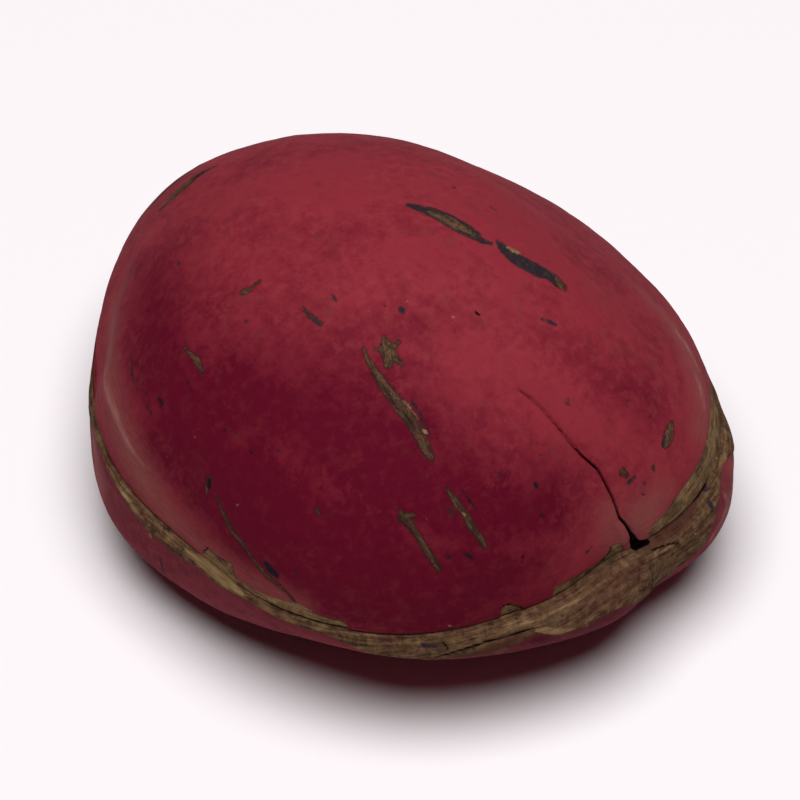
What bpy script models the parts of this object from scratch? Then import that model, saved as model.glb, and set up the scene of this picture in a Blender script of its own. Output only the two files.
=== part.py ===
"""A kola nut: one seed of two fleshy cotyledons, lying on the lower one.

The nut has +X towards the end where the root would come out, which is the end with the cleft,
+Z up, and its origin on the ground under the middle of its box. Each cotyledon is a UV sphere
pushed into shape: the first rows from one pole become its domed outside, and the other rows
are pressed flat into the inner face that lies against the other cotyledon.
"""

import math

import bmesh
import bpy
from mathutils import Vector

MM = 0.001

# The seam, where the two inner faces meet. Its radii and heights are given in millimetres at
# even steps round the nut, starting at the cleft and going anticlockwise seen from above.
SEAM_RADII = (
    20.5, 20.9, 18.8, 16.8, 15.8, 15.8, 17.0, 18.7,
    19.8, 18.8, 18.4, 18.3, 18.1, 19.3, 20.0, 20.0,
)
SEAM_HEIGHTS = (
    0.12, 0.44, 0.50, 0.19, -0.16, -0.28, -0.25, -0.08,
    0.02, 0.06, -0.22, 0.07, 0.03, -0.24, -0.27, 0.07,
)
SEAM_GAP = 0.3

# The upper cotyledon. Fullness widens or narrows its flank half way up.
CROWN_HEIGHT = 14.3
CROWN_OFFSET = (1.2, -1.3)
CROWN_ROUNDNESS = (0.95, 1.08)
CROWN_FULLNESS = (0.0, -0.13, -0.09, -0.08, -0.09, -0.02, 0.0, 0.0)
RIM_THICKNESS = 0.35

# The lower cotyledon. Its brown margin is a sloping ledge outside the seam, this wide.
LEDGE_WIDTHS = (
    1.60, 0.90, 0.35, 0.60, 0.70, 0.70, 0.70, 0.75,
    0.65, 0.30, 0.20, 0.60, 0.50, 0.15, 0.60, 1.35,
)
LEDGE_LEAST_DROP = 0.2
LEDGE_SLOPE = 0.8
BELLY_DEPTH = 9.1
BELLY_OFFSET = (0.45, 0.15)
BELLY_ROUNDNESS = (0.59, 1.13)
BELLY_FULLNESS = (0.01, 0.15, 0.01, 0.03, 0.02, 0.11, 0.08, -0.11)
FOOT_FLATTENING = 0.1

# The cleft, a crack up the outside of the upper cotyledon from a small hole at the seam. It
# wanders to one side as it climbs: (share of the way to the crown, degrees round the nut).
CLEFT_PATH = ((0.0, -1.3), (0.14, -2.5), (0.3, -3.2), (0.46, -5.5), (0.6, -9.0))
CLEFT_DEPTH = 0.55
CLEFT_HOLE_DEPTH = 1.0
CLEFT_HALF_WIDTH = 1.6

# What the cleft pulls in round it, as (degrees round the nut, breadth in degrees, depth in
# millimetres): the upper cotyledon's rim, and a notch down the lower cotyledon's shoulder.
RIM_DENT = (-6.0, 9.2, 0.85)
BELLY_NOTCH = (2.6, 7.0, 0.8)

# The mesh of each cotyledon.
COLUMNS = 96
INNER_ROWS = 4
OUTSIDE_ROWS = 20
LEDGE_ROWS = 3
COLUMN_CROWDING = 0.6
CROWDED_DEGREES = 9.0
BENT_DEGREES = 25.0
SMOOTH_BELOW = math.radians(50)


def around(azimuth, stations):
    """A smooth closed curve through equally spaced stations, read at an azimuth in radians."""
    count = len(stations)
    place = azimuth / (2 * math.pi) * count % count
    first = int(place)
    t = place - first
    a, b, c, d = (stations[(first + step) % count] for step in (-1, 0, 1, 2))
    curve = 2 * b + (c - a) * t + (2 * a - 5 * b + 4 * c - d) * t**2
    return (curve + (3 * b - a - 3 * c + d) * t**3) / 2


def degrees_from(azimuth, centre):
    """How far an azimuth in radians lies from a centre in degrees, the short way round."""
    return (math.degrees(azimuth) - centre + 180) % 360 - 180


def hollow(azimuth, centre, breadth, depth):
    """A soft-edged hollow at one place round the nut."""
    return depth * math.exp(-((degrees_from(azimuth, centre) / breadth) ** 2))


def crown_radius(azimuth, climb=0.0):
    """The outer edge of the seam, with a dent that fades on the way up to the crown."""
    fade = math.cos(climb * math.pi / 2) ** 2
    return around(azimuth, SEAM_RADII) - hollow(azimuth, *RIM_DENT) * fade


def cleft_centre(climb):
    """Where the cleft runs at a share of the way to the crown, in degrees round the nut."""
    for (low, start), (high, end) in zip(CLEFT_PATH, CLEFT_PATH[1:]):
        if climb <= high:
            return start + (end - start) * (climb - low) / (high - low)
    return CLEFT_PATH[-1][1]


def cleft_depth(azimuth, climb):
    """How far the crack cuts into the outside of the upper cotyledon."""
    along = max(0.0, 1 - climb / CLEFT_PATH[-1][0])
    off = abs(degrees_from(azimuth, cleft_centre(climb)))
    across = max(0.0, 1 - off / CLEFT_HALF_WIDTH)
    return across * (CLEFT_DEPTH * along**0.5 + (CLEFT_HOLE_DEPTH - CLEFT_DEPTH) * along**12)


def column_azimuth(azimuth, climb):
    """Crowds the columns of the mesh together at the cleft and bends them along it."""
    off = degrees_from(azimuth, 0)
    crowded = off * (1 - COLUMN_CROWDING * math.exp(-((off / CROWDED_DEGREES) ** 2)))
    bent = cleft_centre(climb) * math.exp(-((off / BENT_DEGREES) ** 2))
    return math.radians(crowded + bent)


def domed(azimuth, climb, radius, height, roundness, fullness, offset):
    """A point on a domed outside, and how far out and up it is as shares of the whole."""
    turn = climb * math.pi / 2
    outward = max(0.0, math.cos(turn)) ** roundness[0]
    upward = math.sin(turn) ** roundness[1]
    reach = radius * outward * (1 + around(azimuth, fullness) * math.sin(2 * turn) ** 2)
    x = reach * math.cos(azimuth) + offset[0] * upward**2
    y = reach * math.sin(azimuth) + offset[1] * upward**2
    return Vector((x, y, height * upward)), outward, upward


def crown_point(azimuth, climb):
    """The upper cotyledon's outside, from its rim, climb 0, to its crown, climb 1."""
    shape = (CROWN_HEIGHT, CROWN_ROUNDNESS, CROWN_FULLNESS, CROWN_OFFSET)
    point, outward, upward = domed(azimuth, climb, crown_radius(azimuth, climb), *shape)
    point.z += (SEAM_GAP / 2 + RIM_THICKNESS) * (1 - upward)
    point.z += around(azimuth, SEAM_HEIGHTS) * outward
    return point


def belly_point(azimuth, climb):
    """The lower cotyledon's outside, from its shoulder, climb 0, to its foot, climb 1."""
    ledge = around(azimuth, LEDGE_WIDTHS)
    notch = hollow(azimuth, *BELLY_NOTCH) * math.cos(climb * math.pi / 2) ** 2
    radius = around(azimuth, SEAM_RADII) + ledge - notch
    shape = (-BELLY_DEPTH, BELLY_ROUNDNESS, BELLY_FULLNESS, BELLY_OFFSET)
    point, outward, upward = domed(azimuth, climb, radius, *shape)
    shoulder = around(azimuth, SEAM_HEIGHTS) * outward - LEDGE_LEAST_DROP - LEDGE_SLOPE * ledge
    point.z += shoulder * (1 - upward)
    return point


def crown_outward(azimuth, climb):
    """The direction straight out of the upper cotyledon's outside."""
    step = 0.01
    low = min(climb, 1 - step)
    along = crown_point(azimuth + step, low) - crown_point(azimuth - step, low)
    up = crown_point(azimuth, low + step) - crown_point(azimuth, low)
    return along.cross(up).normalized()


def inner_point(azimuth, share, reach, above_seam):
    """A point of an inner face, from its middle, share 0, out to its edge, share 1."""
    x = share * reach * math.cos(azimuth)
    y = share * reach * math.sin(azimuth)
    return Vector((x, y, above_seam + share * around(azimuth, SEAM_HEIGHTS)))


def upper_vertex(azimuth, row):
    """Where a sphere vertex goes on the upper cotyledon. Row 0 is the crown."""
    climb = max(0.0, 1 - row / OUTSIDE_ROWS)
    azimuth = column_azimuth(azimuth, climb)
    depth = cleft_depth(azimuth, climb)
    if row <= OUTSIDE_ROWS:
        return crown_point(azimuth, climb) - depth * crown_outward(azimuth, climb)
    share = 1 - (row - OUTSIDE_ROWS - 1) / INNER_ROWS
    reach = crown_radius(azimuth) - RIM_THICKNESS - depth
    return inner_point(azimuth, share, reach, SEAM_GAP / 2)


def lower_vertex(azimuth, row):
    """Where a sphere vertex goes on the lower cotyledon. Row 0 is its foot."""
    belly_rows = OUTSIDE_ROWS + 1 - LEDGE_ROWS
    if row <= belly_rows:
        return belly_point(azimuth, 1 - row / belly_rows)
    reach = crown_radius(azimuth) - RIM_THICKNESS
    if row > OUTSIDE_ROWS:
        share = 1 - (row - OUTSIDE_ROWS - 1) / INNER_ROWS
        return inner_point(azimuth, share, reach, -SEAM_GAP / 2)
    shoulder = belly_point(azimuth, 0)
    edge = inner_point(azimuth, 1, reach, -SEAM_GAP / 2)
    centre = Vector((edge.x, edge.y, shoulder.z))
    turn = (row - belly_rows) / LEDGE_ROWS * math.pi / 2
    return centre + (shoulder - centre) * math.cos(turn) + (edge - centre) * math.sin(turn)


def pushed_sphere(name, vertex_place, outer_pole):
    """A UV sphere with each vertex moved, given its azimuth and its row from the outer pole."""
    rows = OUTSIDE_ROWS + 1 + INNER_ROWS
    sphere = bmesh.new()
    bmesh.ops.create_uvsphere(sphere, u_segments=COLUMNS, v_segments=rows, radius=1)
    for vertex in sphere.verts:
        height = max(-1.0, min(1.0, vertex.co.z * outer_pole))
        row = round(math.acos(height) / math.pi * rows)
        vertex.co = vertex_place(math.atan2(vertex.co.y, vertex.co.x), row)
    bmesh.ops.recalc_face_normals(sphere, faces=sphere.faces)
    mesh = bpy.data.meshes.new(name)
    sphere.to_mesh(mesh)
    sphere.free()
    return mesh


def flat_foot(meshes):
    """Flattens the foot, moves the nut over the origin and turns millimetres into metres."""
    vertices = [vertex for mesh in meshes for vertex in mesh.vertices]
    ground = min(vertex.co.z for vertex in vertices) + FOOT_FLATTENING
    middle = Vector((0, 0, ground))
    for axis in (0, 1):
        places = [vertex.co[axis] for vertex in vertices]
        middle[axis] = (min(places) + max(places)) / 2
    for vertex in vertices:
        vertex.co.z = max(vertex.co.z, ground)
        vertex.co = (vertex.co - middle) * MM


def flesh_material(name, colour, roughness):
    """A plain finish in one of the nut's own colours."""
    material = bpy.data.materials.new(name)
    material.use_nodes = True
    shader = material.node_tree.nodes["Principled BSDF"]
    shader.inputs["Base Color"].default_value = (*colour, 1)
    shader.inputs["Roughness"].default_value = roughness
    shader.inputs["Metallic"].default_value = 0
    return material


def add_cotyledon(mesh, material):
    """An object for one cotyledon, shaded smooth except along its rim."""
    mesh.materials.append(material)
    mesh.shade_smooth()
    mesh.set_sharp_from_angle(angle=SMOOTH_BELOW)
    cotyledon = bpy.data.objects.new(mesh.name, mesh)
    bpy.context.scene.collection.objects.link(cotyledon)


def main():
    for old in list(bpy.data.objects):
        bpy.data.objects.remove(old)
    upper = pushed_sphere("upper_cotyledon", upper_vertex, outer_pole=1)
    lower = pushed_sphere("lower_cotyledon", lower_vertex, outer_pole=-1)
    flat_foot([upper, lower])
    add_cotyledon(upper, flesh_material("upper_skin", (0.23, 0.012, 0.030), 0.45))
    add_cotyledon(lower, flesh_material("lower_skin_and_ledge", (0.17, 0.035, 0.030), 0.55))


main()
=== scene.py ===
"""The looks of the kola nut: each cotyledon as a fine mesh over the CAD solid's own form.

The form is worked out in millimetres about the middle of the seam, with the same stations as
the CAD source. Marks seen in the photo are pixel strokes, cast onto that form from the camera.
Each kind of mark becomes a field on the vertices: millimetres inside its edge, or less than
nothing outside. The materials turn the fields into colour, and the mesh takes relief from them.
Some kinds are painted light and shade: a painted sheen and painted highlight streaks on the
flanks, painted light on the top, painted shade over a deeper tone on the low front and belly,
and near black painted as shade in cracks, pits and the cleft's hole.
"""

import math

import bpy
import numpy as np
from mathutils import Matrix, Vector, noise
from mathutils.bvhtree import BVHTree


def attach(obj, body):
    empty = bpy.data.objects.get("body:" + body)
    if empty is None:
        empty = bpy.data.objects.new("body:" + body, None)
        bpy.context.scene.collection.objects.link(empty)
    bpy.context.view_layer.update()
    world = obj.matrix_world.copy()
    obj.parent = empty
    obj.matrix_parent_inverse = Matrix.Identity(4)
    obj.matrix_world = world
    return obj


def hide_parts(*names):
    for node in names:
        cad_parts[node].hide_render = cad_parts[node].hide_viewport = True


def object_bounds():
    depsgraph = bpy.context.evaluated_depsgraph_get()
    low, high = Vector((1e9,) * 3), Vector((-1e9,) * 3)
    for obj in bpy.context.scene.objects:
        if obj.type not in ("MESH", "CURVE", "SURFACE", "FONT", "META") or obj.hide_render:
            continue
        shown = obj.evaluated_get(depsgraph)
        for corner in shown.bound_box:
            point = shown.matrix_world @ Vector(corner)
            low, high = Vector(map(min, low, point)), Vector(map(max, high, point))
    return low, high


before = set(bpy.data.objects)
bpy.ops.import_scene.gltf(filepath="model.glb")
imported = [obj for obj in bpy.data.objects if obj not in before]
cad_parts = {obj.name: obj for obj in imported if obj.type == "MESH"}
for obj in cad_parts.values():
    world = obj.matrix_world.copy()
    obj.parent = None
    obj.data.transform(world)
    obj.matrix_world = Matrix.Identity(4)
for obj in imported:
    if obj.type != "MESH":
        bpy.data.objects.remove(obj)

CAD_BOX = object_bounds()
MM = 0.001

# Where the middle of the seam lies in the CAD frame, in millimetres.
SEAM_CENTRE = np.array((-0.5956, 1.0364, 9.0))

# The photo's view. The camera looks along a line that passes the seam's middle.
IMAGE_SIZE = 800
CAMERA_AZIMUTH = math.radians(42.5)
CAMERA_ELEVATION = math.radians(50)
CAMERA_DISTANCE = 380.0
PIXELS_PER_MM = 16.3
SEAM_CENTRE_PIXEL = (391.97, 378.61)
SENSOR_WIDTH = 36.0

# The form, as in the CAD source: stations at even steps round the nut, anticlockwise from +X.
SEAM_RADII = (
    20.5, 20.9, 18.8, 16.8, 15.8, 15.8, 17.0, 18.7,
    19.8, 18.8, 18.4, 18.3, 18.1, 19.3, 20.0, 20.0,
)
SEAM_HEIGHTS = (
    0.12, 0.44, 0.50, 0.19, -0.16, -0.28, -0.25, -0.08,
    0.02, 0.06, -0.22, 0.07, 0.03, -0.24, -0.27, 0.07,
)
SEAM_GAP = 0.3
CROWN_HEIGHT = 14.3
CROWN_OFFSET = (1.2, -1.3)
CROWN_ROUNDNESS = (0.95, 1.08)
CROWN_FULLNESS = (0.0, -0.13, -0.09, -0.08, -0.09, -0.02, 0.0, 0.0)
RIM_THICKNESS = 0.35
LEDGE_WIDTHS = (
    1.60, 0.90, 0.35, 0.60, 0.70, 0.70, 0.70, 0.75,
    0.65, 0.30, 0.20, 0.60, 0.50, 0.15, 0.60, 1.35,
)
LEDGE_LEAST_DROP = 0.2
LEDGE_SLOPE = 0.8
BELLY_DEPTH = 9.1
BELLY_OFFSET = (0.45, 0.15)
BELLY_ROUNDNESS = (0.59, 1.13)
BELLY_FULLNESS = (0.01, 0.15, 0.01, 0.03, 0.02, 0.11, 0.08, -0.11)
CLEFT_PATH = ((0.0, -1.3), (0.14, -2.5), (0.3, -3.2), (0.46, -5.5), (0.6, -9.0))
RIM_DENT = (-6.0, 9.2, 0.85)
BELLY_NOTCH = (2.6, 7.0, 0.8)

# The meshes. Columns are closest together at the cleft, and closer on the photo's side.
FINEST_COLUMNS = 768
CROWN_ROWS = 168
BELLY_ROWS = 156
RIM_ROWS = 5
INNER_ROWS = 5
LEDGE_ROWS = 16
BELLY_ROW_CROWDING = 1.4
HALVED_AT = (0.40, 0.74, 0.90, 0.97)
COLUMN_CROWDING = 0.6
CROWDED_DEGREES = 9.0
BENT_DEGREES = 25.0
FRONT_CROWDING = 0.28
FRONT_AZIMUTH = CAMERA_AZIMUTH - math.pi / 2

# Where the seam stands open, by azimuth as above: the gap left between rim and ledge.
SEAM_OPENING = (
    0.02, 0.10, 0.10, 0.10, 0.10, 0.10, 0.10, 0.10,
    0.08, 0.07, 0.07, 0.06, 0.01, 0.05, 0.03, 0.01,
)

# The rim's edge and the ledge that tucks in under it.
RIM_HEIGHT = SEAM_GAP / 2 + RIM_THICKNESS
RIM_ROUNDING = 0.06
TUCK = 0.28

# How far a stroke's field reaches, and how noise is stretched into fibres, in millimetres.
FAR = 1.0
SOFT_FAR = 8.0
STROKE_SPACING = 50.0
SCAR_HALO = 0.15
FIBRE_STRETCH = 12.0
SCAR_STRETCH = 7.0
BAND_BLEND = math.radians(8)
RIM_BLEND = math.radians(0.6)
RIM_LEAST = 0.03
RIM_HIDDEN = 0.35
HOLE_SHADE = 0.12
HOLE_WALL_SHADE = 1.5

# Low relief that the solids leave out, in millimetres: the pixel strokes for it come below.
LIP_HEIGHT = 0.12
CRACK_DEPTH = 0.55
UPPER_HOLE_DEPTH = 1.0
LOWER_HOLE_DEPTH = 0.9
SWELL_HEIGHT = 0.28
SWELL_SPREAD = 6.0
UPPER_DENT_DEPTH = 0.62
LOWER_DENT_DEPTH = 0.18
BULGE_HEIGHT = 0.26
SIDE_SPREAD = 4.0

# The invented scars on the far side: how many are tried, and where they may lie, in millimetres.
HIDDEN_SCAR_TRIES = 22
HIDDEN_ASIDE = (-17, 17)
HIDDEN_ABOVE = (1.8, 10)
HIDDEN_LENGTH = (0.6, 4.5)
HIDDEN_FACING = -0.12
BEHIND = 60.0

# Finishes, as linear colours.
CRIMSON = (0.235, 0.022, 0.034, 1)
# Deeper crimson: mixed in by cloud noise as the skin's own tone, and by the deep field partly as
# painted shade.
DEEP_CRIMSON_AND_SHADE = (0.100, 0.0025, 0.0135, 1)
DARKEST_CRIMSON = (0.045, 0.001, 0.009, 1)
LOWER_CRIMSON = (0.17, 0.020, 0.032, 1)
# The lower's deeper crimson: mixed in by cloud noise, and by the deep field as painted shade on its
# front and belly.
LOWER_DEEP_AND_SHADE = (0.050, 0.003, 0.012, 1)
PINK = (0.33, 0.060, 0.060, 1)
# A painted sheen for each half: the pale reflection of the white floor on flanks and edges.
PAINTED_SHEEN = (0.23, 0.070, 0.062, 1)
LOWER_PAINTED_SHEEN = (0.29, 0.092, 0.085, 1)
# A painted highlight along soft ridges on the flanks.
PAINTED_HIGHLIGHT = (0.36, 0.17, 0.15, 1)
SKIN_OLIVE = (0.10, 0.032, 0.020, 1)
OLIVE = (0.062, 0.038, 0.020, 1)
DARK_OLIVE = (0.018, 0.012, 0.010, 1)
INK = (0.023, 0.015, 0.022, 1)
# Ink where the deep field lies, darker partly as painted shade.
DARK_INK_AND_SHADE = (0.008, 0.003, 0.008, 1)
CREAM = (0.28, 0.17, 0.085, 1)
STRAW = (0.30, 0.21, 0.11, 1)
GOLD = (0.20, 0.12, 0.055, 1)
TAN = (0.125, 0.070, 0.036, 1)
BROWN = (0.070, 0.034, 0.018, 1)
RED_BROWN = (0.065, 0.020, 0.016, 1)
DARK_BROWN = (0.025, 0.011, 0.008, 1)
# Near black painted as the shade inside cracks, pits and the cleft's hole.
BLACK_RED = (0.006, 0.001, 0.003, 1)
SKIN_ROUGHNESS = 0.75
DRY_ROUGHNESS = 0.9
SKIN_SPECULAR = 0.04
BUMP_DEPTH = 0.03

# The studio. Distances are in metres.
FLOOR_SIZE = 1.6
FLOOR_WHITE = (0.88, 0.835, 0.855, 1)
FLOOR_ROUGHNESS = 0.95
FLOOR_SPECULAR = 0.1
LIGHT_DISTANCE = 0.8
SOFTBOX_AZIMUTH = 42.5
SOFTBOX_ELEVATION = 84
SOFTBOX_SIZE = 0.65
SOFTBOX_POWER = 8.2
WORLD_STRENGTH = 0.01

# The lower edge of the brown ledge in the photo, from its left end to its right end, in pixels.
BAND_EDGE = (
    (89, 375), (89, 404), (92, 426), (104.6, 457), (120, 492), (128.4, 506), (138, 519),
    (148, 531.6), (162, 543), (173, 552.6), (183, 559.6), (204, 572), (211, 580.7), (226.6, 590.5),
    (240.7, 596.8), (260, 608.7), (278.6, 618.5), (302, 628.4), (330.5, 636.8), (372.5, 653.7),
    (400, 660), (437, 662.8), (478, 660.3), (499.6, 653), (519.5, 643), (536, 633.8),
    (546, 634.6), (564, 635.4), (579, 628), (587.5, 627), (596, 620), (612, 611.4), (632, 604.8),
    (650.5, 591.5), (665, 583), (676, 578.5), (681, 573), (694.5, 555), (704, 542.7), (710, 527),
    (715, 509), (718, 492), (720, 470), (721.5, 448), (721, 430),
)

# Where the upper cotyledon's rim is brown too: the upper edge of each brown stretch, in pixels.
RIM_BANDS = (
    ((195.5, 551), (203, 552), (207, 548), (218, 557), (231, 565), (233, 573), (238, 580),
     (246, 585), (260, 593), (274, 599), (293, 602), (300, 604.5), (311, 611.5), (321, 617),
     (340, 621.5), (350, 626)),
    ((499.6, 611), (506, 606.5), (513, 606), (523, 608.5), (532, 611)),
    ((552, 589), (562, 584), (576, 577), (592, 568), (599, 563), (606, 556), (610, 550), (613, 545),
     (619, 544), (626, 548), (630, 551)),
    ((648, 533), (653, 527), (657, 522), (667, 513), (674, 500), (685, 486), (695, 471), (704, 452),
     (708.5, 433), (711, 410), (711, 394), (709.5, 378), (707, 366)),
)

# Marks seen in the photo, each a stroke of (pixel x, pixel y, half width in millimetres).
CLEFT = (
    (520, 390, 0.01), (530, 397, 0.02), (545, 410, 0.03), (560, 428, 0.035), (572, 443, 0.035),
    (583, 456, 0.04), (598.8, 470, 0.05), (606, 483.3, 0.05), (613.3, 498, 0.05), (617.6, 510, 0.06),
    (620, 518.5, 0.06), (626, 525, 0.06), (631, 533, 0.08), (633, 540, 0.12),
)
CLEFT_LEFT_LIP = (
    (541, 413, 0.02), (556, 431, 0.08), (568, 446, 0.10), (580, 460, 0.12), (594, 474, 0.14),
    (601, 486, 0.16), (608, 501, 0.18), (612.5, 513, 0.20), (616, 522, 0.22), (622, 531, 0.26),
    (626, 540, 0.24),
)
CLEFT_HOLE = ((632.5, 537, 0.06), (635, 544.5, 0.19), (640, 543.5, 0.13), (648, 541.5, 0.02))

# Where the form swells or sinks a little against the solids, as strokes of no width.
RIGHT_BULGE = ((726, 450, 0.0), (730, 468, 0.0), (728, 490, 0.0), (721, 515, 0.0))
TOP_SWELL = ((215, 166, 0.0), (300, 141, 0.0), (370, 140, 0.0), (450, 164, 0.0))
LEFT_DENT = ((106, 300, 0.0), (101, 320, 0.0), (98, 338, 0.0), (96, 352, 0.0))

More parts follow.
